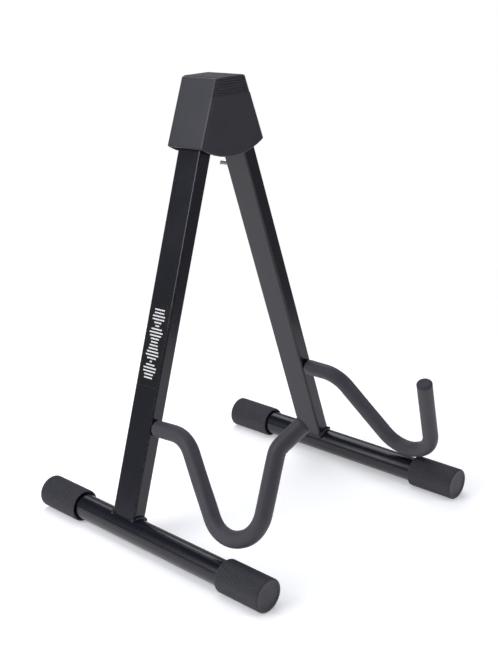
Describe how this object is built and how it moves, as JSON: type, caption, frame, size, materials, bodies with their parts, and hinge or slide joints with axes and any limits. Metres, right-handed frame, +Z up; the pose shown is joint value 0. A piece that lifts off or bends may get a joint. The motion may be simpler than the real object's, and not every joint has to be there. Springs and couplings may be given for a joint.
{
  "type": "folding guitar stand",
  "caption": "Folding A-frame guitar stand: two tube legs hinged in a moulded head, each with a capped foot tube and a foam-covered hook in front.",
  "frame": {"origin": "on the floor, at the middle of the footprint", "axes": "+Z up, -Y towards the front where the hooks are, -X towards the left leg"},
  "size_m": [0.3256, 0.2988, 0.4291],
  "materials": {
    "head_plastic": "fine moulded texture, satin",
    "black_screw": "black oxide",
    "plated_steel": "zinc plated",
    "nylon": "natural nylon",
    "black_paint": "semi-gloss black powder coat",
    "cap_rubber": "matt, fine lengthwise ribs",
    "foam": "soft closed-cell foam, matt",
    "foam_end": "soft closed-cell foam, matt",
    "label_film": "gloss black film with a white mark",
    "bright_steel": "bright plated",
    "spring_steel": "blued spring steel"
  },
  "bodies": {
    "head": {"head_cover": "head_plastic", "cover_screws": "black_screw", "hinge_bracket": "plated_steel", "left_hinge_rivet": "plated_steel", "right_hinge_rivet": "plated_steel", "left_hinge_washers": "nylon", "right_hinge_washers": "nylon"},
    "left_leg": {"left_leg": "black_paint", "left_foot_tube": "black_paint", "left_front_cap": "cap_rubber", "left_rear_cap": "cap_rubber", "left_hook_rod": "black_paint", "left_hook_sleeve": "foam", "left_hook_end": "foam_end", "leg_label": "label_film"},
    "right_leg": {"right_leg": "black_paint", "right_foot_tube": "black_paint", "right_front_cap": "cap_rubber", "right_rear_cap": "cap_rubber", "right_hook_rod": "black_paint", "right_hook_sleeve": "foam", "right_hook_end": "foam_end", "lock_spring": "spring_steel"},
    "lock_button": {"lock_button": "bright_steel"}
  },
  "joints": [
    {"name": "left_leg_fold", "type": "hinge", "parent": "head", "child": "left_leg", "pos_m": [-0.01374, 0.05122, 0.40718], "axis": [0, -0.9992, 0.0401], "range_deg": [0, 15.5]},
    {"name": "right_leg_fold", "type": "hinge", "parent": "head", "child": "right_leg", "pos_m": [0.01374, 0.05122, 0.40718], "axis": [0, 0.9992, -0.0401], "range_deg": [0, 15.5]},
    {"name": "lock_button_press", "type": "slide", "parent": "right_leg", "child": "lock_button", "axis": [0, -0.9992, 0.0401], "range_m": [0, 0.008], "stiffness_N_per_m": 250, "springref_m": -0.003, "deforming": ["lock_spring"]}
  ]
}
